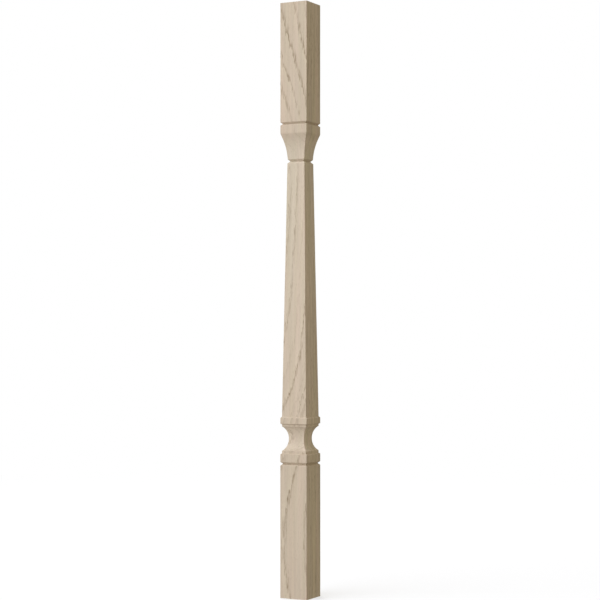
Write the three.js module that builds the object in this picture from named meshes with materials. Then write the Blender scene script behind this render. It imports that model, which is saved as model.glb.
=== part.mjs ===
// Square wooden baluster for a stair or landing rail.
// Millimetres, +Z up, origin at the middle of the underside, wide front face towards -Y.
//
// The whole baluster is one stick of oak. The same moulding is milled across all four
// faces, so every level of it is a square, and the solid is a stack of squares whose
// half widths follow one profile from the foot to the top.
import * as THREE from "three";

// Driving dimensions, from the foot upwards.
const LENGTH = 889;
const SECTION = 44.45;
const ARRIS_RADIUS = 0.5;

const FOOT_GROOVE_Z = 199.6;
const FOOT_GROOVE_DEPTH = 3.1;
const FOOT_GROOVE_HEIGHT = 5.4;
const BAND_TOP_Z = 213.9;
const BAND_STEP_HEIGHT = 1.1;

const FILLET_HALF = 20.35;
const SCOTIA_BOTTOM_Z = 218.9;
const SCOTIA_TOP_Z = 255.2;
const SCOTIA_DEPTH = 7.55;
const SCOTIA_SWEEP_DEG = 65;

const COLLAR_BOTTOM_Z = 258.2;
const COLLAR_UNDERCUT_HEIGHT = 1.2;
const COLLAR_SHOULDER_Z = 267.9;
const COLLAR_TOP_Z = 269.7;

const SHAFT_HALF_AT_COLLAR = 20.43;
const SHAFT_HALF_AT_NECK = 14.5;

const NECK_GROOVE_Z = 651.7;
const NECK_GROOVE_DEPTH = 3.3;
const NECK_GROOVE_HEIGHT = 6.6;
const COVE_HALF_AT_NECK = 14.15;
const COVE_TOP_Z = 692.6;
const COVE_TOP_SLOPE_DEG = 21.6;
const NOSE_RADIUS = 8;

const HEAD_GROOVE_Z = 707.3;
const HEAD_GROOVE_DEPTH = 2.8;
const HEAD_GROOVE_HEIGHT = 4.9;

// How finely the curves are cut into straight steps.
const SCOTIA_STEPS = 28;
const COVE_STEPS = 18;
const NOSE_STEPS = 4;
const ARRIS_STEPS = 2;

const OAK = new THREE.MeshStandardMaterial({ color: 0xcdbca2, roughness: 0.72, metalness: 0 });

const radians = THREE.MathUtils.degToRad;
const half = SECTION / 2;

// A V groove: its two lips and, between them, its bottom line. The depth is taken from the
// higher of the faces below and above, and both flanks rise by half the height in that depth.
function grooveLevels(z, depth, height, halfBelow, halfAbove) {
  const bottomHalf = Math.max(halfBelow, halfAbove) - depth;
  const rise = height / 2 / depth;
  return [
    { z: z - rise * (halfBelow - bottomHalf), half: halfBelow },
    { z, half: bottomHalf },
    { z: z + rise * (halfAbove - bottomHalf), half: halfAbove },
  ];
}

// The scotia: a hollow between two fillets, part of an ellipse that is deepest at mid height.
// The turn runs from -sweep at the lower fillet to +sweep at the upper one.
function scotiaLevels() {
  const sweep = radians(SCOTIA_SWEEP_DEG);
  const middleZ = (SCOTIA_BOTTOM_Z + SCOTIA_TOP_Z) / 2;
  const radiusZ = (SCOTIA_TOP_Z - SCOTIA_BOTTOM_Z) / 2 / Math.sin(sweep);
  const radiusIn = SCOTIA_DEPTH / (1 - Math.cos(sweep));
  return Array.from({ length: SCOTIA_STEPS + 1 }, (_, step) => {
    const turn = sweep * ((2 * step) / SCOTIA_STEPS - 1);
    const depth = radiusIn * (Math.cos(turn) - Math.cos(sweep));
    return { z: middleZ + radiusZ * Math.sin(turn), half: FILLET_HALF - depth };
  });
}

// The cove under the head: one circular arc from the neck groove out to the full section,
// leaning by COVE_TOP_SLOPE_DEG from upright where it arrives. Its corner with the upright
// band above is a small rounded nose, an arc that touches the cove's end and the band.
function coveLevels(startZ) {
  const topSlope = radians(COVE_TOP_SLOPE_DEG);
  const rise = COVE_TOP_Z - startZ;
  const spread = half - COVE_HALF_AT_NECK;
  const chordSlope = Math.atan2(spread, rise);
  const halfTurn = topSlope - chordSlope;
  const radius = Math.hypot(rise, spread) / 2 / Math.sin(halfTurn);
  const noseTangent = NOSE_RADIUS * Math.tan(topSlope / 2);
  const arc = Array.from({ length: COVE_STEPS + 1 }, (_, step) => {
    const slope = topSlope - 2 * halfTurn * (1 - step / COVE_STEPS);
    return {
      z: COVE_TOP_Z - radius * (Math.sin(topSlope) - Math.sin(slope)),
      half: half - radius * (Math.cos(slope) - Math.cos(topSlope)),
    };
  }).filter((level) => level.z < COVE_TOP_Z - noseTangent);
  const nose = Array.from({ length: NOSE_STEPS + 1 }, (_, step) => {
    const slope = topSlope * (1 - step / NOSE_STEPS);
    return {
      z: COVE_TOP_Z + noseTangent - NOSE_RADIUS * Math.sin(slope),
      half: half - NOSE_RADIUS * (1 - Math.cos(slope)),
    };
  });
  return [...arc, ...nose];
}

// Every level of the baluster, from the underside to the top.
function balusterProfile() {
  const neck = grooveLevels(
    NECK_GROOVE_Z, NECK_GROOVE_DEPTH, NECK_GROOVE_HEIGHT, SHAFT_HALF_AT_NECK, COVE_HALF_AT_NECK);
  const neckLipZ = neck[2].z;
  return [
    { z: 0, half },
    ...grooveLevels(FOOT_GROOVE_Z, FOOT_GROOVE_DEPTH, FOOT_GROOVE_HEIGHT, half, half),
    { z: BAND_TOP_Z, half },
    { z: BAND_TOP_Z + BAND_STEP_HEIGHT, half: FILLET_HALF },
    ...scotiaLevels(),
    { z: COLLAR_BOTTOM_Z, half: FILLET_HALF },
    { z: COLLAR_BOTTOM_Z + COLLAR_UNDERCUT_HEIGHT, half },
    { z: COLLAR_SHOULDER_Z, half },
    { z: COLLAR_TOP_Z, half: SHAFT_HALF_AT_COLLAR },
    neck[0],
    neck[1],
    ...coveLevels(neckLipZ),
    ...grooveLevels(HEAD_GROOVE_Z, HEAD_GROOVE_DEPTH, HEAD_GROOVE_HEIGHT, half, half),
    { z: LENGTH, half },
  ];
}

// One square level with its four arrises eased to a small radius, anticlockwise from above.
function squareRing(level) {
  const points = [];
  const toArrisCentre = (level.half - ARRIS_RADIUS) * Math.SQRT2;
  for (let corner = 0; corner < 4; corner += 1) {
    const diagonal = radians(45 + 90 * corner);
    for (let step = 0; step <= ARRIS_STEPS; step += 1) {
      const turn = radians(90 * corner + (90 * step) / ARRIS_STEPS);
      points.push(
        toArrisCentre * Math.cos(diagonal) + ARRIS_RADIUS * Math.cos(turn),
        toArrisCentre * Math.sin(diagonal) + ARRIS_RADIUS * Math.sin(turn),
        level.z,
      );
    }
  }
  return points;
}

// One flat end, as triangles of a ring's point numbers, anticlockwise: a fan from the first
// point that steps over the point opposite it, which gets a small triangle of its own.
// So no edge runs through the middle of the end, where the baluster is set down or fixed.
function endFaces(around) {
  const opposite = around / 2;
  const fan = Array.from({ length: around }, (_, side) => side).filter((side) => side !== opposite);
  const faces = [[opposite - 1, opposite, opposite + 1]];
  for (let step = 1; step < fan.length - 1; step += 1) {
    faces.push([fan[0], fan[step], fan[step + 1]]);
  }
  return faces;
}

// A closed skin over the stack of levels: side walls from ring to ring, and two flat ends.
function stackGeometry(levels) {
  const positions = levels.flatMap(squareRing);
  const around = positions.length / 3 / levels.length;
  const faces = [];
  for (let row = 0; row < levels.length - 1; row += 1) {
    for (let side = 0; side < around; side += 1) {
      const low = row * around + side;
      const lowNext = row * around + ((side + 1) % around);
      faces.push(low, lowNext, lowNext + around);
      faces.push(low, lowNext + around, low + around);
    }
  }
  const topRow = (levels.length - 1) * around;
  for (const [a, b, c] of endFaces(around)) {
    faces.push(c, b, a);
    faces.push(topRow + a, topRow + b, topRow + c);
  }
  const geometry = new THREE.BufferGeometry();
  geometry.setAttribute("position", new THREE.Float32BufferAttribute(positions, 3));
  geometry.setIndex(faces);
  geometry.computeVertexNormals();
  return geometry;
}

const baluster = new THREE.Mesh(stackGeometry(balusterProfile()), OAK);
baluster.name = "baluster";

const part = new THREE.Group();
part.add(baluster);

export default part;
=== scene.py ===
# %% [markdown]
# # A square oak stair baluster
#
# The object is one stick of bare oak, 889 mm long and 44.45 mm square. A moulding machine has
# cut the same profile into all four faces, so every level of it is a square. The packed CAD
# part gives the true outline. This script dresses it: it builds a finer skin over the same
# outline, turns that into oak, and sets up the floor, the light and the camera.

import bpy
import numpy as np
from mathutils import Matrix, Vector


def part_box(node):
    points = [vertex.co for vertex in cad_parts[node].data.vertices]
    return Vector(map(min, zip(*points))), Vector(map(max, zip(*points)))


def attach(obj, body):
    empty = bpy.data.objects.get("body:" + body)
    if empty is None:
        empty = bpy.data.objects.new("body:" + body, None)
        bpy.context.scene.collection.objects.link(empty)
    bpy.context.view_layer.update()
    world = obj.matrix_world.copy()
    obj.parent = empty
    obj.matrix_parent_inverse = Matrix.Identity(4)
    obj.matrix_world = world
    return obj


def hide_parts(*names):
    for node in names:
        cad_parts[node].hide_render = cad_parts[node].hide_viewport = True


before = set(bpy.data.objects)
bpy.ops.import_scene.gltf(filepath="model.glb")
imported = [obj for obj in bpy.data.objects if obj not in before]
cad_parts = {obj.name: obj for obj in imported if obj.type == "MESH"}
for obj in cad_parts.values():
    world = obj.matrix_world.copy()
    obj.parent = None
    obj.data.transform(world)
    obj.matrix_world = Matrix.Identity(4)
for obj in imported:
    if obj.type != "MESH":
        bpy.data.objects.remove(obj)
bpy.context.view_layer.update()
low_corner, high_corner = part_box("baluster")

# %% [markdown]
# ## Sizes
#
# All sizes are in millimetres, as on a mill drawing, and become metres when the mesh is made.
# Length and section come from the CAD part. The heights and depths of the moulding repeat its
# driving dimensions, because the packed model carries only its faces.

# %% Sizes of the moulding
MM_PER_METRE = 1000.0
LENGTH = MM_PER_METRE * (high_corner.z - low_corner.z)
BLOCK_HALF = MM_PER_METRE * (high_corner.x - low_corner.x) / 2

FOOT_GROOVE_Z, FOOT_GROOVE_DEPTH, FOOT_GROOVE_HEIGHT = 199.6, 3.1, 5.4
BAND_TOP_Z, BAND_STEP_HEIGHT = 213.9, 1.1
FILLET_HALF = 20.35
SCOTIA_BOTTOM_Z, SCOTIA_TOP_Z = 218.9, 255.2
SCOTIA_DEPTH, SCOTIA_SWEEP_DEG = 7.55, 65
COLLAR_BOTTOM_Z, COLLAR_UNDERCUT_HEIGHT = 258.2, 1.2
COLLAR_SHOULDER_Z, COLLAR_TOP_Z = 267.9, 269.7
SHAFT_HALF_AT_COLLAR, SHAFT_HALF_AT_NECK = 20.43, 14.5
NECK_GROOVE_Z, NECK_GROOVE_DEPTH, NECK_GROOVE_HEIGHT = 651.7, 3.3, 6.6
COVE_HALF_AT_NECK, COVE_TOP_Z, COVE_TOP_SLOPE_DEG = 14.15, 692.6, 21.6
NOSE_RADIUS = 8
HEAD_GROOVE_Z, HEAD_GROOVE_DEPTH, HEAD_GROOVE_HEIGHT = 707.3, 2.8, 4.9
print(f"length {LENGTH:.2f} mm, section {2 * BLOCK_HALF:.2f} mm")

# %% [markdown]
# ## The profile
#
# The profile is the line that the cutter follows on one face, given as height and half width.
# It is a list of corners. Each has an ease, which is how far from the corner the sanding
# starts to round it, and an arris, which is the radius of the four long edges at that level.
# The grooves and hollows keep sharper edges, because sandpaper hardly reaches into them.

# %% Corners and grooves
CUT_ARRIS, HOLLOW_ARRIS, FACE_ARRIS = 0.25, 0.32, 0.5
CUT_EASE, HOLLOW_EASE, LIP_EASE, FACE_EASE = 0.18, 0.12, 0.14, 0.16
SHOULDER_EASE, SAWN_EASE = 0.22, 0.3


def corner(z, half, ease=FACE_EASE, arris=FACE_ARRIS):
    """One profile corner: its height, half width, ease and arris radius."""
    return np.array([[z, half, ease, arris]])


def groove(z, depth, height, half_below, half_above):
    """A V: the depth is taken from the higher face, and each flank rises by half the height in
    that depth, so a lip lies rise (its half width - the bottom's) away from z."""
    bottom, rise = max(half_below, half_above) - depth, height / 2 / depth
    return np.vstack([
        corner(z - rise * (half_below - bottom), half_below, LIP_EASE),
        corner(z, bottom, CUT_EASE, CUT_ARRIS),
        corner(z + rise * (half_above - bottom), half_above, LIP_EASE),
    ])


print("eases of", HOLLOW_EASE, "to", SAWN_EASE, "mm, arrises of", CUT_ARRIS, "to", FACE_ARRIS, "mm")

# %% Scotia and cove
def scotia(steps=64):
    """Part of an ellipse, deepest at mid height: z = middle + radius_z sin(turn), and the half
    width falls by radius_in (cos(turn) - cos(sweep)) as turn goes from -sweep to +sweep."""
    sweep = np.radians(SCOTIA_SWEEP_DEG)
    turn = np.linspace(-sweep, sweep, steps + 1)
    middle = (SCOTIA_BOTTOM_Z + SCOTIA_TOP_Z) / 2
    radius_z = (SCOTIA_TOP_Z - SCOTIA_BOTTOM_Z) / 2 / np.sin(sweep)
    radius_in = SCOTIA_DEPTH / (1 - np.cos(sweep))
    z = middle + radius_z * np.sin(turn)
    half = FILLET_HALF - radius_in * (np.cos(turn) - np.cos(sweep))
    ease = np.where((turn == turn[0]) | (turn == turn[-1]), HOLLOW_EASE, 0.0)
    return np.column_stack([z, half, ease, np.full(z.shape, HOLLOW_ARRIS)])


def cove(start_z, steps=60, nose_steps=8, clear=0.2):
    """A circular arc from the neck out to the full section, where it leans by the top slope,
    then a small arc of the nose radius that turns upright and touches both cove and band. The
    first arc's points stop at least clear below the second arc."""
    top_slope = np.radians(COVE_TOP_SLOPE_DEG)
    rise, spread = COVE_TOP_Z - start_z, BLOCK_HALF - COVE_HALF_AT_NECK
    half_turn = top_slope - np.arctan2(spread, rise)
    radius = np.hypot(rise, spread) / 2 / np.sin(half_turn)
    slope = top_slope - 2 * half_turn * np.linspace(1, 0, steps + 1)
    z = COVE_TOP_Z - radius * (np.sin(top_slope) - np.sin(slope))
    half = BLOCK_HALF - radius * (np.cos(slope) - np.cos(top_slope))
    tangent = NOSE_RADIUS * np.tan(top_slope / 2)
    kept = z < COVE_TOP_Z - tangent - clear
    nose_slope = top_slope * np.linspace(1, 0, nose_steps + 1)
    z = np.append(z[kept], COVE_TOP_Z + tangent - NOSE_RADIUS * np.sin(nose_slope))
    half = np.append(half[kept], BLOCK_HALF - NOSE_RADIUS * (1 - np.cos(nose_slope)))
    ease = np.where(z == z[0], LIP_EASE, 0.0)
    return np.column_stack([z, half, ease, np.full(z.shape, FACE_ARRIS)])


print("scotia", round(SCOTIA_TOP_Z - SCOTIA_BOTTOM_Z, 1), "mm high and", SCOTIA_DEPTH, "mm deep")

# %% Put the corners in order, from the middle of the foot to the middle of the head
neck = groove(NECK_GROOVE_Z, NECK_GROOVE_DEPTH, NECK_GROOVE_HEIGHT,
              SHAFT_HALF_AT_NECK, COVE_HALF_AT_NECK)

# Above the collar, the arrises take this height to grow to their radius on the shaft.
ARRIS_GROWTH = 6
shaft_height = neck[0, 0] - COLLAR_TOP_Z
half_after_growth = np.interp(ARRIS_GROWTH, [0, shaft_height],
                              [SHAFT_HALF_AT_COLLAR, SHAFT_HALF_AT_NECK])

corners = np.vstack([
    corner(0, 0, ease=0),
    corner(0, BLOCK_HALF, SAWN_EASE),
    groove(FOOT_GROOVE_Z, FOOT_GROOVE_DEPTH, FOOT_GROOVE_HEIGHT, BLOCK_HALF, BLOCK_HALF),
    corner(BAND_TOP_Z, BLOCK_HALF),
    corner(BAND_TOP_Z + BAND_STEP_HEIGHT, FILLET_HALF, HOLLOW_EASE, HOLLOW_ARRIS),
    scotia(),
    corner(COLLAR_BOTTOM_Z, FILLET_HALF, HOLLOW_EASE, HOLLOW_ARRIS),
    corner(COLLAR_BOTTOM_Z + COLLAR_UNDERCUT_HEIGHT, BLOCK_HALF),
    corner(COLLAR_SHOULDER_Z, BLOCK_HALF, SHOULDER_EASE),
    corner(COLLAR_TOP_Z, SHAFT_HALF_AT_COLLAR, LIP_EASE, HOLLOW_ARRIS),
    corner(COLLAR_TOP_Z + ARRIS_GROWTH, half_after_growth, ease=0),
    neck[:2],
    cove(neck[2, 0]),
    groove(HEAD_GROOVE_Z, HEAD_GROOVE_DEPTH, HEAD_GROOVE_HEIGHT, BLOCK_HALF, BLOCK_HALF),
    corner(LENGTH, BLOCK_HALF, SAWN_EASE),
    corner(LENGTH, 0, ease=0),
])
print(len(corners), "profile corners")

# %% [markdown]
# ## Easing the corners
#
# A real edge is never a perfect line, and a tiny rounding is what catches the light. A bevel
# modifier could round the finished mesh, but here the same thing is done to the profile, where
# it is one short formula, and every level of the mesh keeps its meaning.

# %% Ease the corners and add levels on the long flats
NEGLIGIBLE = 1e-6
FLAT_MARGIN = 0.3


def eased(corners, points=5, share=0.45):
    """Each corner P becomes the curve (1-s)^2 A + 2s(1-s) P + s^2 B, where A and B lie on its
    two lines, one ease away but no more than that share of the shorter line. Corners with no
    ease stay as they are."""
    tip, ease = corners[:, :2], corners[:, 2]
    step = np.diff(tip, axis=0)
    length = np.linalg.norm(step, axis=1)
    along = step / length[:, None]
    along_in, along_out = np.vstack([along[:1], along]), np.vstack([along, along[-1:]])
    shorter = np.minimum(np.append(length[0], length), np.append(length, length[-1]))
    reach = np.minimum(ease, share * shorter)[:, None]
    before, after = tip - reach * along_in, tip + reach * along_out
    s = np.linspace(0, 1, points)[None, :, None]
    curve = ((1 - s) ** 2 * before[:, None] + 2 * s * (1 - s) * tip[:, None]
             + s**2 * after[:, None])
    levels = np.column_stack([curve.reshape(-1, 2), np.repeat(corners[:, 3], points)])
    moved = np.linalg.norm(np.diff(levels[:, :2], axis=0), axis=1) > NEGLIGIBLE
    return levels[np.append(True, moved)]


def with_more_levels(levels, spacing=2.5, shortest=1.0):
    """Adds levels along the path: one a margin inside each end of every straight, which keeps
    the flats flat when the faces are shaded smooth, and one for each spacing in between. A
    straight under the shortest gets none, and no spaced level is nearer than that to an end."""
    gap = np.linalg.norm(np.diff(levels[:, :2], axis=0), axis=1)
    run = np.append(0, np.cumsum(gap))
    start, end = run[:-1][gap > shortest], run[1:][gap > shortest]
    grid = np.arange(0, run[-1], spacing)
    segment = np.searchsorted(start, grid, side="right") - 1
    inside = (segment >= 0) & (grid - start[segment] > shortest) & (end[segment] - grid > shortest)
    every = np.sort(np.concatenate([run, start + FLAT_MARGIN, end - FLAT_MARGIN, grid[inside]]))
    return every, np.column_stack([np.interp(every, run, levels[:, i]) for i in range(3)])


path, levels = with_more_levels(eased(corners))
print(len(levels), "levels, from", levels[0, :2].round(2), "to", levels[-1, :2].round(2))

# %% [markdown]
# ## The section at each level
#
# Every level is a square with four small rounded arrises. On the real stick these are broken
# by a light pass of sandpaper, so they wander a little along the length. Each side gets twelve
# points: half an arris, the flat, and half the next arris. The cut between one side and the
# next runs along the middle of the arris, where a seam in the texture map is least seen.

# %% Points around each level
# For each point of a side: its turn round the arris, its share of the way from the middle to
# the end of the flat, and whether it lies a margin in from that end.
TURN = np.radians([-45, -22.5, 0, 0, 0, 0, 0, 0, 0, 0, 0, 22.5])
SHARE = np.array([-1, -1, -1, -1, -2 / 3, -1 / 3, 0, 1 / 3, 2 / 3, 1, 1, 1])
INSET = np.array([0, 0, 0, 1, 0, 0, 0, 0, 0, -1, 0, 0])
OUTWARD = np.array([[0, -1], [1, 0], [0, 1], [-1, 0]])
SIDEWAYS = np.array([[1, 0], [0, 1], [-1, 0], [0, -1]])
SIDE_COUNT, SIDE_POINTS = len(OUTWARD), len(TURN)

# Each wave is a share of the radius, and the height in which it goes through one radian.
ARRIS_WAVES = [(0.16, 41), (0.11, 13), (0.07, 4.7)]
CORNER_SEED = 44


def arris_radius(z, half, arris):
    """Radius of the four arrises: the level's own radius times 1 + three slow sine waves in z,
    each with its own start on each arris, and never over a third of the half width."""
    random = np.random.default_rng(CORNER_SEED)
    start = random.uniform(0, 2 * np.pi, (len(ARRIS_WAVES), SIDE_COUNT))
    wave = sum(size * np.sin(z[:, None] / reach + start[i])
               for i, (size, reach) in enumerate(ARRIS_WAVES))
    return np.minimum(arris[:, None] * (1 + wave), half[:, None] / 3)


def section_points(z, half, arris):
    """For a side with outward direction o and sideways direction t, a point is
    t (share (half - radius) + inset + radius sin(turn)) + o (half - radius (1 - cos(turn))).
    The inset is the margin, or an eighth of the half width where that is less."""
    radius = arris_radius(z, half, arris)
    left, right = radius[:, :, None], np.roll(radius, -1, axis=1)[:, :, None]
    nearest = np.where(SHARE < 0, left, right)
    inset = INSET * np.minimum(FLAT_MARGIN, half / 8)[:, None, None]
    sideways = SHARE * (half[:, None, None] - nearest) + inset + nearest * np.sin(TURN)
    outward = half[:, None, None] - nearest * (1 - np.cos(TURN))
    flat = sideways[..., None] * SIDEWAYS[:, None] + outward[..., None] * OUTWARD[:, None]
    height = np.broadcast_to(z[:, None, None, None], (*flat.shape[:3], 1))
    return np.concatenate([flat, height], axis=3).reshape(len(z), -1, 3)


rings = section_points(*levels[1:-1].T)
print(rings.shape[0], "rings of", rings.shape[1], "points")

# %% [markdown]
# ## The skin
#
# The rings are joined by four-sided faces, and a single point closes each sawn end. The map
# that textures are baked through lays the four sides next to each other, full length, with
# the two ends above them. It gives the pattern more room across the grain than along it,
# which is where oak has its finest detail.

# %% Join the rings
def skin_faces(ring_count, around):
    """Quads between ring r and r + 1, then a fan of triangles at each end. Point 0 is the
    middle of the foot, the rings follow, and the last point is the middle of the head."""
    side = np.arange(around)
    after = (side + 1) % around
    low = 1 + around * np.arange(ring_count - 1)[:, None]
    high = low + around
    quads = np.stack([low + side, low + after, high + after, high + side], axis=-1)
    last = 1 + (ring_count - 1) * around
    foot = np.column_stack([np.zeros(around, int), 1 + after, 1 + side])
    head = np.column_stack([np.full(around, last + around), last + side, last + after])
    return quads.reshape(-1, 4), np.vstack([foot, head])


points = np.vstack([[0, 0, 0], rings.reshape(-1, 3), [0, 0, LENGTH]])
quads, fans = skin_faces(len(rings), rings.shape[1])
print(len(points), "points,", 2 * len(quads) + len(fans), "triangles")

# %% Lay the skin out flat
# All of these are parts of the map's width or height, and the map is 1 by 1.
STRIP, STRIP_USED, MAP_EDGE, WALL_USED = 0.25, 0.24, 0.005, 0.83
END_MIDDLE_U, END_MIDDLE_V, HEAD_SHIFT = 0.125, 0.92, 0.5
END_HALF_U, END_HALF_V = 0.115, 0.072


def end_places(corner_points):
    """u and v on a sawn end are its middle plus x and y, with the head half a map further on."""
    shift = HEAD_SHIFT * (corner_points[..., 2] > LENGTH / 2)
    return (END_MIDDLE_U + shift + END_HALF_U * corner_points[..., 0] / BLOCK_HALF,
            END_MIDDLE_V + END_HALF_V * corner_points[..., 1] / BLOCK_HALF)


def bake_map(foot_block_side):
    """Places in the map, one for each corner of each face. On the walls, u is the side's strip
    plus the distance across it, as on that row of points of one side of the foot block, and v
    is the distance along the profile. On the sawn ends, u and v follow x and y."""
    width = 2 * BLOCK_HALF
    gaps = np.hypot(*np.diff(foot_block_side, axis=0).T)
    across = np.concatenate([[0], np.cumsum(gaps), [width]])
    row, column = np.divmod(np.arange(len(quads)), rings.shape[1])
    strip, point = np.divmod(column, SIDE_POINTS)
    from_edge = across[point[:, None] + [0, 1, 1, 0]]
    u = STRIP * strip[:, None] + MAP_EDGE + STRIP_USED * from_edge / width
    run = path[1 + row[:, None] + [0, 0, 1, 1]]
    wall_start, wall_end = BLOCK_HALF - SAWN_EASE, path[-1] - BLOCK_HALF + SAWN_EASE
    v = MAP_EDGE + WALL_USED * (run - wall_start) / (wall_end - wall_start)
    on_foot, on_head = run.max(1) <= wall_start + NEGLIGIBLE, run.min(1) >= wall_end - NEGLIGIBLE
    is_end = (on_foot | on_head)[:, None]
    end_u, end_v = end_places(points[quads])
    fan_u, fan_v = end_places(points[fans])
    return np.vstack([
        np.column_stack([np.where(is_end, end_u, u).ravel(), np.where(is_end, end_v, v).ravel()]),
        np.column_stack([fan_u.ravel(), fan_v.ravel()])])


# A twentieth of the way along, the rings are still on the plain foot block.
block_ring = rings[len(rings) // 20]
places = bake_map(block_ring[:SIDE_POINTS, :2])
print("map from", places.min(0).round(3), "to", places.max(0).round(3))

# %% Make the mesh
mesh = bpy.data.meshes.new("oak_baluster")
mesh.from_pydata(points / MM_PER_METRE, [], quads.tolist() + fans.tolist())
mesh.uv_layers.new(name="OFBake").data.foreach_set("uv", places.astype(np.float32).ravel())
mesh.shade_smooth()
mesh.validate()
baluster = bpy.data.objects.new("oak_baluster", mesh)
bpy.context.scene.collection.objects.link(baluster)
print(baluster.name, "is", [round(v, 5) for v in baluster.dimensions], "m")

# %% [markdown]
# ## Writing a material as sums
#
# Oak is easiest to describe in numbers: how far from the heart of the tree is this point, how
# far into its growth ring, is there a pore here. Shader nodes can do such sums, but a page of
# node wiring hides them. So one small class stands for the output of a node, and Python's own
# operators on it add the Math nodes. One method makes every other kind of node.

# %% A value in a material
class Value:
    """One output of a shader node. Arithmetic on it adds Math nodes to the same material."""

    def __init__(self, bench, socket):
        self.bench, self.socket = bench, socket

    def __add__(self, other):
        return self.bench.math("ADD", self, other)

    def __sub__(self, other):
        return self.bench.math("SUBTRACT", self, other)

    def __rsub__(self, other):
        return self.bench.math("SUBTRACT", other, self)

    def __mul__(self, other):
        return self.bench.math("MULTIPLY", self, other)

    def __truediv__(self, other):
        return self * (1 / other)

    def __rtruediv__(self, other):
        return self.bench.math("DIVIDE", other, self)

    def __pow__(self, power):
        return self.bench.math("POWER", self, power)

    def __rpow__(self, base):
        return self.bench.math("POWER", base, self)

    def __abs__(self):
        return self.bench.math("ABSOLUTE", self)

    __radd__, __rmul__ = __add__, __mul__

    def sine(self):
        """The sine of that many whole turns: 0.25 gives 1."""
        return self.bench.math("SINE", self * (2 * np.pi))

    def whole(self):
        """The whole part, rounded down."""
        return self.bench.math("FLOOR", self)

    def rise(self, start, end, low=0.0, high=1.0):
        """Goes smoothly from low, where this value is at start, to high, where it is at end."""
        return self.bench.node(
            "ShaderNodeMapRange", {"interpolation_type": "SMOOTHSTEP"},
            {"Value": self, "From Min": start, "From Max": end, "To Min": low, "To Max": high})


print("reflected operators:", [name for name in vars(Value) if name.startswith("__r")])

# %% The workbench that makes nodes
class Workbench:
    """A material or world being made. node() adds any node and gives one of its outputs."""

    def __init__(self, tree):
        self.tree = tree
        tree.nodes.clear()

    def node(self, kind, settings=None, inputs=None, output=0):
        """Sets the node's settings first, then fills or links its sockets, by name or number."""
        made = self.tree.nodes.new(kind)
        for name, setting in (settings or {}).items():
            if name == "stops":
                self.set_stops(made.color_ramp, *setting)
            else:
                setattr(made, name, setting)
        for name, value in (inputs or {}).items():
            if isinstance(value, Value):
                self.tree.links.new(value.socket, made.inputs[name])
            else:
                made.inputs[name].default_value = value
        return Value(self, made.outputs[output]) if made.outputs else made

    def math(self, operation, *terms):
        """A Math node on two values or numbers, or on one."""
        return self.node("ShaderNodeMath", {"operation": operation}, dict(enumerate(terms)))

    @staticmethod
    def set_stops(ramp, interpolation, stops):
        """Gives a ramp its stops, which are pairs of position and grey."""
        ramp.interpolation = interpolation
        while len(ramp.elements) < len(stops):
            ramp.elements.new(0.5)
        for element, (position, grey) in zip(ramp.elements, stops):
            element.position, element.color = position, (grey, grey, grey, 1)

    def mixed(self, factor, first, second, blend="MIX"):
        """The first colour where factor is 0 and the second where it is 1. With MULTIPLY or ADD
        it goes to their product or sum. Sockets 0, 6 and 7 are the factor and the colours."""
        return self.node("ShaderNodeMix", {"data_type": "RGBA", "blend_type": blend},
                         {0: factor, 6: first, 7: second}, output=2)


oak = bpy.data.materials.new("bare_oak")
oak.use_nodes = True
wood = Workbench(oak.node_tree)
print("workbench ready:", oak.name)

# %% [markdown]
# ## Where a point is, and how the wood is cut there
#
# Every pattern below is worked out in space, from the place of a point in the stick, and not as
# a picture on each face. Noise that is drawn out along the stick gives the long soft shapes of
# wood. The direction that the surface faces says whether the cut runs along or across the grain.

# %% Place and direction
place = wood.node("ShaderNodeTexCoord", output="Object")
in_mm = wood.node("ShaderNodeVectorMath", {"operation": "SCALE"}, {0: place, "Scale": MM_PER_METRE})


def stretched(across, along, shift=0.0):
    """The place in units of across and along millimetres, for patterns drawn out lengthwise."""
    scaled = wood.node("ShaderNodeVectorMath", {"operation": "MULTIPLY"},
                       {0: in_mm, 1: (1 / across, 1 / across, 1 / along)})
    return wood.node("ShaderNodeVectorMath", {"operation": "ADD"},
                     {0: scaled, 1: (shift, shift, shift)})


def cloud(across, along, detail=2.0, roughness=0.5, shift=0.0):
    """Soft noise about 0, from roughly -0.3 to 0.3, with lumps of that size."""
    return wood.node("ShaderNodeTexNoise", {"noise_dimensions": "3D"},
                     {"Vector": stretched(across, along, shift), "Scale": 1.0, "Detail": detail,
                      "Roughness": roughness}) - 0.5


x, y, z = (wood.node("ShaderNodeSeparateXYZ", inputs={0: in_mm}, output=axis) for axis in "XYZ")
normal = wood.node("ShaderNodeTexCoord", output="Normal")
facing_x, facing_z = (
    abs(wood.node("ShaderNodeSeparateXYZ", inputs={0: normal}, output=axis)) for axis in "XZ")
cross_cut = facing_z.rise(0.15, 0.95)
sawn = facing_z.rise(0.93, 0.99)
along_rays = facing_x.rise(0.3, 0.9)
print("place and direction take", len(oak.node_tree.nodes), "nodes")

# %% [markdown]
# ## Growth rings
#
# The stick is cut from a board, so its faces are slices through one set of rings round the
# heart of the tree, which lay far behind the front left edge. Where a face runs along the
# rings it shows long slanting lines, and where it cuts across them it shows narrow stripes.
# Because the rings are in space, the lines run on round every edge, through the hollows and
# onto the sawn ends. The heart wanders along the length, which bends the lines, and the widths
# of the rings differ from year to year. Bundles of fibres break the lines into small steps,
# which are much weaker on the sawn ends.

# %% Distance from the heart
# The heart's usual place, and how far it leans over the length of the stick.
HEART_X, HEART_Y, HEART_LEAN = -66.8, 190.4, 3.73


def sway(size, reach, start):
    """size sin(z / reach + start), in millimetres, with the angle in whole turns."""
    return size * (z / reach + start).sine()


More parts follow.
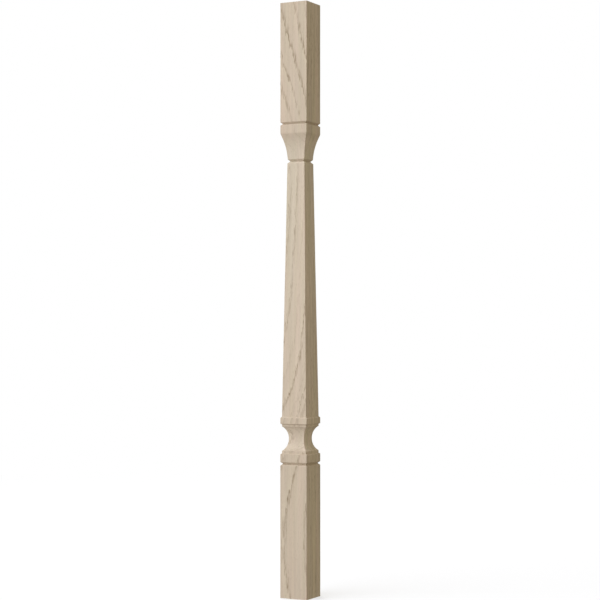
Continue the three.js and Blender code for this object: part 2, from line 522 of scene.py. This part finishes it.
from_heart_x = x - HEART_X - sway(6.88, 417.2, 0.519)
from_heart_y = y - HEART_Y + sway(11.58, 883.2, 0.661) + HEART_LEAN * (z / LENGTH - 0.5)
radius = (from_heart_x * from_heart_x + from_heart_y * from_heart_y) ** 0.5
bends = 0.7 * cloud(26, 120, 1.0)
ripples = 0.7 * cloud(3.2, 13, 1.0, shift=7.3)
fibre_steps = (2.3 - 1.8 * sawn) * cloud(1.1, 26, 0.0, shift=3.7)
wavy_radius = radius + bends + ripples + fibre_steps
print("heart about", round(float(np.hypot(HEART_X, HEART_Y))), "mm from the middle of the stick")

# %% Place within the ring
RING_STARTS = [157.5, 162.1, 166.6, 171.9, 176.1, 181.0, 186.4, 190.5, 194.9, 199.7, 203.8,
               207.4, 212.0, 216.3, 220.7, 223.5, 225.6, 232.3, 237.9, 243.2, 248.1, 253.5]
FIRST_RING, LAST_RING, RING_COUNT = RING_STARTS[0], RING_STARTS[-1], len(RING_STARTS) - 1
RING_SPAN = LAST_RING - FIRST_RING


def looked_up(value, stops, interpolation="LINEAR"):
    """Reads a value off a colour ramp, given as pairs of position and grey."""
    return wood.node("ShaderNodeValToRGB", {"stops": (interpolation, stops)}, {0: value})


ring = RING_COUNT * looked_up(
    (wavy_radius - FIRST_RING) / RING_SPAN,
    [((start - FIRST_RING) / RING_SPAN, i / RING_COUNT) for i, start in enumerate(RING_STARTS)])
ring_number = ring.whole()
into_ring = ring - ring_number
print(RING_COUNT, "growth rings between", FIRST_RING, "and", LAST_RING, "mm from the heart")

# %% [markdown]
# ## Early wood, late wood and pores
#
# Each spring an oak lays down a band of wide pores, which are open tubes along the grain.
# Sliced lengthwise they become the dark dashes that draw the figure. Through the summer the
# wood gets denser and paler, so the strip just before the next pores is creamy. In this stick
# some lines are bold and others hardly show, and they aren't the same ones at both ends. So the
# strength of the bands comes from two lists, one for the foot and one for the head, with a
# number for each ring, and the upper shaft goes from the first to the second. A third list says
# how bold the whole figure is at each height. Pores are the cells of a Voronoi pattern drawn
# out lengthwise, and only those in the band are kept at full strength.

# %% How strong each ring is
STRENGTHS_AT_FOOT = [0.6, 0.9, 0.5, 0.8, 0.6, 1.0, 0.5, 0.8, 0.45, 0.7, 0.65,
                     0.8, 0.3, 1.0, 0.35, 1.0, 0.6, 1.0, 0.12, 0.9, 0.5]
STRENGTHS_AT_HEAD = [0.6, 0.9, 0.5, 0.8, 0.6, 1.0, 0.5, 0.8, 0.45, 0.7, 0.65,
                     0.8, 0.4, 1.0, 1.0, 0.08, 1.0, 0.95, 0.45, 0.8, 0.5]
CHANGE_START_Z, CHANGE_END_Z = 430, 700

# Pairs of height and boldness.
FIGURE = [(0, 0.8), (60, 0.6), (120, 0.7), (160, 1.0), (195, 0.75), (235, 0.7), (262, 0.8),
          (290, 1.0), (400, 0.9), (480, 0.7), (560, 0.85), (630, 0.7), (655, 0.3), (705, 0.3),
          (735, 0.6), (775, 1.0), (840, 1.0), (889, 0.7)]


def ring_strength(number):
    """Looks the ring up in both lists of strengths, held as the flat steps of two ramps, and
    goes from the foot's to the head's along the upper shaft."""
    foot, head = (
        looked_up((number + 0.5) / RING_COUNT,
                  [(i / RING_COUNT, strength) for i, strength in enumerate(strengths)], "CONSTANT")
        for strengths in (STRENGTHS_AT_FOOT, STRENGTHS_AT_HEAD))
    return foot + (head - foot) * z.rise(CHANGE_START_Z, CHANGE_END_Z)


along_stick = looked_up(z / LENGTH, [(height / LENGTH, bold) for height, bold in FIGURE])
boldness = along_stick * ring_strength(ring_number)
print("figure given at", len(FIGURE), "heights")

# %% Bands and pores
# As parts of a ring's width, where the band starts to fade and where it is gone.
BAND_FULL, BAND_GONE = 0.07, 0.27
# Early pores lie this many millimetres apart, a pore reaches this part of that from its middle,
# and this part of its reach is solid.
PORE_SPACING, PORE_REACH, SOLID_PART = 0.62, 0.42, 0.55


def long_cells(across, along, reach, shift=0.0):
    """1 inside long thin cells, 0 between them, from the distance to the nearest cell."""
    away = wood.node("ShaderNodeTexVoronoi", {"feature": "F1"},
                     {"Vector": stretched(across, along, shift), "Scale": 1.0})
    return away.rise(reach, reach * SOLID_PART)


clumps = cloud(0.75, 7.0, 1.0, shift=3.1).rise(-0.1, 0.14, 0.18, 1.0)
band = into_ring.rise(0.0, 0.03) * into_ring.rise(BAND_GONE, BAND_FULL)
late = into_ring.rise(0.55, 0.97) * ring_strength(ring_number + 1) * along_stick * clumps
in_band = into_ring.rise(0.0, 0.02) * into_ring.rise(0.36, 0.16)
early_pores = long_cells(PORE_SPACING, 15, PORE_REACH) * in_band
stray_pores = long_cells(0.95, 11, 0.24, shift=5.7)
pores = wood.math("MAXIMUM", early_pores * boldness.rise(0.1, 0.9), 0.5 * stray_pores)
band_width = (BAND_FULL + BAND_GONE) / 2 * RING_SPAN / RING_COUNT
pore_width = (1 + SOLID_PART) * PORE_REACH * PORE_SPACING
print(f"bands about {band_width:.1f} mm wide, with pores about {pore_width:.1f} mm wide")

# %% [markdown]
# ## Rays and fibres
#
# Oak also has rays, thin upright sheets of soft cells that run out from the heart. Seen end on,
# on the face that follows the rings, they are fine short dark lines. On the sides they lie
# nearly flat in the surface and show as pale flecks. Fibres give the rest of the figure: faint
# streaks a millimetre or less wide and many centimetres long.

# %% Rays
# The stick's usual distance from the heart turns an angle round it into millimetres.
STICK_RADIUS = 205
RAY_SPACING, RAY_DEPTH, RAY_HEIGHT = 1.15, 22, 19

turn = wood.math("ARCTAN2", from_heart_x, from_heart_y * -1.0)
ray_place = wood.node("ShaderNodeCombineXYZ", inputs={
    0: turn * (STICK_RADIUS / RAY_SPACING), 1: radius / RAY_DEPTH, 2: z / RAY_HEIGHT})
ray_away, ray_colour = (
    wood.node("ShaderNodeTexVoronoi", {"feature": "F1"}, {"Vector": ray_place, "Scale": 1.0},
              output=name)
    for name in ("Distance", "Color"))
ray_pick = wood.node("ShaderNodeSeparateColor", inputs={0: ray_colour})
rays = ray_away.rise(0.3, 0.17) * ray_pick.rise(0.45, 0.6)
print("ray cells about", RAY_HEIGHT, "mm high, about half of them left empty")

# %% Fibres
fine_fibres = cloud(0.55, 38, 2.0, shift=1.9)
broad_fibres = cloud(3.4, 160, 2.0, shift=11.2)
drift = cloud(17, 260, 1.0, shift=4.4)
olive_streaks = cloud(7, 300, 1.0, shift=8.6)
print("with rays and fibres,", len(oak.node_tree.nodes), "nodes")

# %% [markdown]
# ## Colour, roughness and relief
#
# The colour starts from one pale straw tone and each feature shifts it a little: creamy late
# wood, pinkish drift, greyer fibres, dark pores. The skin of the stick has been out in the air
# since it was sawn, so the outer faces are a shade deeper than the wood that the cutters have
# laid bare, which is also a touch cooler. The foot is painted a little darker still, as painted
# shade from the floor, which casts no shade on the wood. Wood cut across its fibres drinks in
# light and looks darker and rougher, which is why the flanks of the grooves and the sawn ends
# are deeper in tone.

# %% Tints
STRAW = (0.622, 0.520, 0.398, 1)
CREAM = (0.680, 0.590, 0.425, 1)
PINK = (0.622, 0.500, 0.385, 1)
OLIVE = (0.570, 0.487, 0.340, 1)
BAND_BROWN = (0.300, 0.222, 0.134, 1)
RAY_BROWN = (0.520, 0.415, 0.292, 1)
RAY_PALE = (0.680, 0.585, 0.455, 1)

tint = wood.mixed(drift.rise(-0.2, 0.2), STRAW, PINK)
tint = wood.mixed(olive_streaks.rise(-0.12, 0.14) * (0.35 + 0.55 * along_rays), tint, OLIVE)
tint = wood.mixed(late * 0.6, tint, CREAM)
tint = wood.mixed(band * boldness * clumps, tint, BAND_BROWN)
tint = wood.mixed(rays * (1 - along_rays) * 0.28, tint, RAY_BROWN)
tint = wood.mixed(rays * along_rays * 0.3, tint, RAY_PALE)
print("straw is", STRAW[:3])

# %% Tone
PORE_BROWN = (0.270, 0.195, 0.125, 1)
FRESH_TINT = (0.990, 1.012, 1.028, 1)
AGED_TINT = (1, 1, 1, 1)
INNER_WOOD, FLOOR_SHADE_HEIGHT = 15.0, 130

streaks = 0.17 * fine_fibres + 0.25 * broad_fibres
tone = 1 + streaks * (1 + 1.3 * along_rays) + 0.15 * drift
outer_skin = wood.math("MAXIMUM", abs(x), abs(y)).rise(INNER_WOOD, BLOCK_HALF)
# Painted shade from the floor: the wood is up to 5 % darker over the lowest 130 mm of the foot.
painted_floor_shade = z.rise(0, FLOOR_SHADE_HEIGHT, 0.95, 1.0)
tone = tone * painted_floor_shade * (1.06 - 0.082 * outer_skin) * (1 - 0.05 * cross_cut - 0.12 * sawn)
grey = wood.node("ShaderNodeCombineColor", inputs={0: tone, 1: tone, 2: tone})
colour = wood.mixed(1.0, tint, grey, blend="MULTIPLY")
air = wood.mixed(outer_skin, FRESH_TINT, AGED_TINT)
colour = wood.mixed(1.0, colour, air, blend="MULTIPLY")
colour = wood.mixed(pores * 0.62, colour, PORE_BROWN)
print("aged skin from", INNER_WOOD, "to", round(BLOCK_HALF, 2), "mm from the middle")

# %% Roughness and relief, with heights in millimetres
KNIFE_SPACING = 1.7

scratches = cloud(0.16, 30, 1.0, shift=2.2)
knife_marks = (z / KNIFE_SPACING + 0.2 * cloud(9, 9, 1.0)).sine()
roughness = 0.6 + 0.12 * pores - 0.05 * late + 0.1 * cross_cut + 0.12 * fine_fibres
height = (-0.045 * pores - 0.012 * band + 0.02 * fine_fibres + 0.008 * scratches
          + 0.0012 * knife_marks + 0.006 * rays)
relief = wood.node("ShaderNodeBump", inputs={
    "Strength": 1.0, "Distance": 1 / MM_PER_METRE, "Height": height})
surface = wood.node("ShaderNodeBsdfPrincipled", inputs={
    "Base Color": colour, "Roughness": roughness, "Normal": relief,
    "IOR": 1.45, "Specular IOR Level": 0.35})
wood.node("ShaderNodeOutputMaterial", inputs={"Surface": surface})
mesh.materials.append(oak)
print(len(oak.node_tree.nodes), "nodes in", oak.name)

# %% [markdown]
# ## Where it belongs
#
# The skin stands for the CAD solid of the same stick, which is then not shown.

# %% Tie the skin to the part
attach(baluster, "root")
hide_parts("baluster")
print("stands for the CAD node baluster")

# %% [markdown]
# ## Floor
#
# In a studio the object stands on a pale sweep that fades to white behind it. One large flat
# square does this here: it takes a faint shadow close to the stick and turns into plain white
# further out, so no horizon shows. Seen from below it is clear, so the sawn foot can be seen.
# It throws no light onto the wood, because the surround already does so from below.

# %% Floor sheet, in metres
FLOOR_REACH = 40.0
floor_mesh = bpy.data.meshes.new("pale_floor")
floor_corners = FLOOR_REACH * np.array([[-1, -1, 0], [1, -1, 0], [1, 1, 0], [-1, 1, 0]])
floor_mesh.from_pydata(floor_corners.tolist(), [], [[0, 1, 2, 3]])
floor = bpy.data.objects.new("pale_floor", floor_mesh)
bpy.context.scene.collection.objects.link(floor)
floor.visible_diffuse = False
floor.visible_glossy = False
print("floor", 2 * FLOOR_REACH, "m wide")

# %% Floor paint that fades to white
FADE_START, FADE_END = 0.5, 2.2

paint = bpy.data.materials.new("pale_floor_paint")
paint.use_nodes = True
sweep = Workbench(paint.node_tree)
floor_place = sweep.node("ShaderNodeTexCoord", output="Object")
from_stick = sweep.node("ShaderNodeVectorMath", {"operation": "LENGTH"},
                        {0: floor_place}, output="Value")
matt = sweep.node("ShaderNodeBsdfDiffuse", inputs={"Color": (0.36, 0.36, 0.36, 1)})
glow = sweep.node("ShaderNodeEmission", inputs={"Color": (0.965, 0.975, 1, 1), "Strength": 0.62})
near = sweep.node("ShaderNodeAddShader", inputs={0: matt, 1: glow})
white = sweep.node("ShaderNodeEmission", inputs={"Color": (1, 1, 1, 1), "Strength": 1.0})
fade = from_stick.rise(FADE_START, FADE_END)
top = sweep.node("ShaderNodeMixShader", inputs={0: fade, 1: near, 2: white})
underneath = sweep.node("ShaderNodeNewGeometry", output="Backfacing")
clear = sweep.node("ShaderNodeBsdfTransparent")
both_sides = sweep.node("ShaderNodeMixShader", inputs={0: underneath, 1: top, 2: clear})
sweep.node("ShaderNodeOutputMaterial", inputs={"Surface": both_sides})
floor_mesh.materials.append(paint)
print("floor fades to white from", FADE_START, "to", FADE_END, "m out")

# %% [markdown]
# ## Light
#
# The light in the photograph is soft and comes mostly from the front and left, from a tall
# bright wall as much as from the lamp above it, because even the undersides of the mouldings
# on the lit face are bright. The shaded face gets only what a warm room throws back, a little
# under half as much. So the surround here is a warm grey, dimmer from below than from above,
# that grows bright towards the front left, and one big lamp stands high in front. A smaller
# lamp behind the stick lights the two faces that the photograph doesn't show. The camera itself
# sees the surround as white.

# %% Surround
FILL_BELOW = (0.302, 0.270, 0.213)
FILL_ABOVE = (0.576, 0.532, 0.443)
BRIGHT_WALL = (0.849, 0.908, 1.045)
WALL_AZIMUTH = -50


def towards(azimuth, elevation, distance, height):
    """A place at that azimuth round the stick, 0 being in front and positive to the right,
    at that elevation and distance from the point at that height on the stick's axis."""
    around, up = np.radians(azimuth), np.radians(elevation)
    aim = np.array([np.sin(around) * np.cos(up), -np.cos(around) * np.cos(up), np.sin(up)])
    return distance * aim + [0, 0, height]


surround = bpy.data.worlds.new("pale_room")
surround.use_nodes = True
room = Workbench(surround.node_tree)
direction = room.node("ShaderNodeTexCoord", output="Generated")
to_wall = room.node("ShaderNodeVectorMath", {"operation": "DOT_PRODUCT"},
                    {0: direction, 1: towards(WALL_AZIMUTH, 0, 1, 0)}, output="Value")
upward = room.node("ShaderNodeSeparateXYZ", inputs={0: direction}, output="Z")
fill = room.mixed(0.5 + 0.5 * upward, (*FILL_BELOW, 1), (*FILL_ABOVE, 1))
wall = room.mixed(room.math("MAXIMUM", to_wall, 0.0), (0, 0, 0, 1), (*BRIGHT_WALL, 1))
light = room.mixed(1.0, fill, wall, blend="ADD")
room_light = room.node("ShaderNodeBackground", inputs={"Color": light, "Strength": 1.0})
backdrop = room.node("ShaderNodeBackground", inputs={"Color": (1, 1, 1, 1), "Strength": 1.0})
by_camera = room.node("ShaderNodeLightPath", output="Is Camera Ray")
seen = room.node("ShaderNodeMixShader", inputs={0: by_camera, 1: room_light, 2: backdrop})
room.node("ShaderNodeOutputWorld", inputs={"Surface": seen})
bpy.context.scene.world = surround
print("surround brightest towards azimuth", WALL_AZIMUTH)

# %% Lamps
LAMP_AIM_HEIGHT = 0.45


def soft_lamp(name, azimuth, elevation, distance, size, strength, colour):
    """A round lamp that faces the middle of the stick. Its watts are strength times
    (pi distance) squared, so that strength 1 makes white paint facing it read as 1."""
    lamp = bpy.data.lights.new(name, "AREA")
    lamp.shape, lamp.size, lamp.color = "DISK", size, colour
    lamp.energy = strength * (np.pi * distance) ** 2
    held = bpy.data.objects.new(name, lamp)
    held.location = towards(azimuth, elevation, distance, LAMP_AIM_HEIGHT)
    held.rotation_euler = np.radians([90 - elevation, 0, azimuth])
    bpy.context.scene.collection.objects.link(held)
    return held


key = soft_lamp("key_lamp", azimuth=-24, elevation=60, distance=5.5, size=3.4,
                strength=0.393, colour=(0.934, 1.0, 1.148))
back = soft_lamp("back_lamp", azimuth=218, elevation=38, distance=4.5, size=2.0,
                 strength=0.32, colour=(1.0, 0.97, 0.9))
for lamp in (key, back):
    print(lamp.name, round(lamp.data.energy), "watts at", [round(v, 2) for v in lamp.location])

# %% [markdown]
# ## Camera
#
# The place of the camera was found by matching the corners of the blocks in the photograph:
# about two and a half metres away, 28 degrees round to the right, 397 mm above the foot and
# pointing about one degree upwards, with a lens of 101 mm on a 36 mm sensor.

# %% Camera
CAMERA_DISTANCE, CAMERA_AZIMUTH, CAMERA_HEIGHT = 2.5298, 27.979, 0.39707
CAMERA_PITCH, CAMERA_YAW = 1.064, 0.0124
SENSOR_WIDTH, FOCAL_LENGTH = 36.0, 101.26

lens = bpy.data.cameras.new("camera")
lens.sensor_width, lens.lens = SENSOR_WIDTH, FOCAL_LENGTH
lens.clip_start, lens.clip_end = 0.05, 200.0
camera = bpy.data.objects.new("camera", lens)
camera.location = towards(CAMERA_AZIMUTH, 0, CAMERA_DISTANCE, CAMERA_HEIGHT)
camera.rotation_euler = np.radians([90 + CAMERA_PITCH, 0, CAMERA_AZIMUTH + CAMERA_YAW])
bpy.context.scene.collection.objects.link(camera)
bpy.context.scene.camera = camera

picture = bpy.context.scene.view_settings
picture.view_transform, picture.look = "Standard", "None"
picture.exposure, picture.gamma = 0.0, 1.0
print("camera at", [round(v, 4) for v in camera.location])
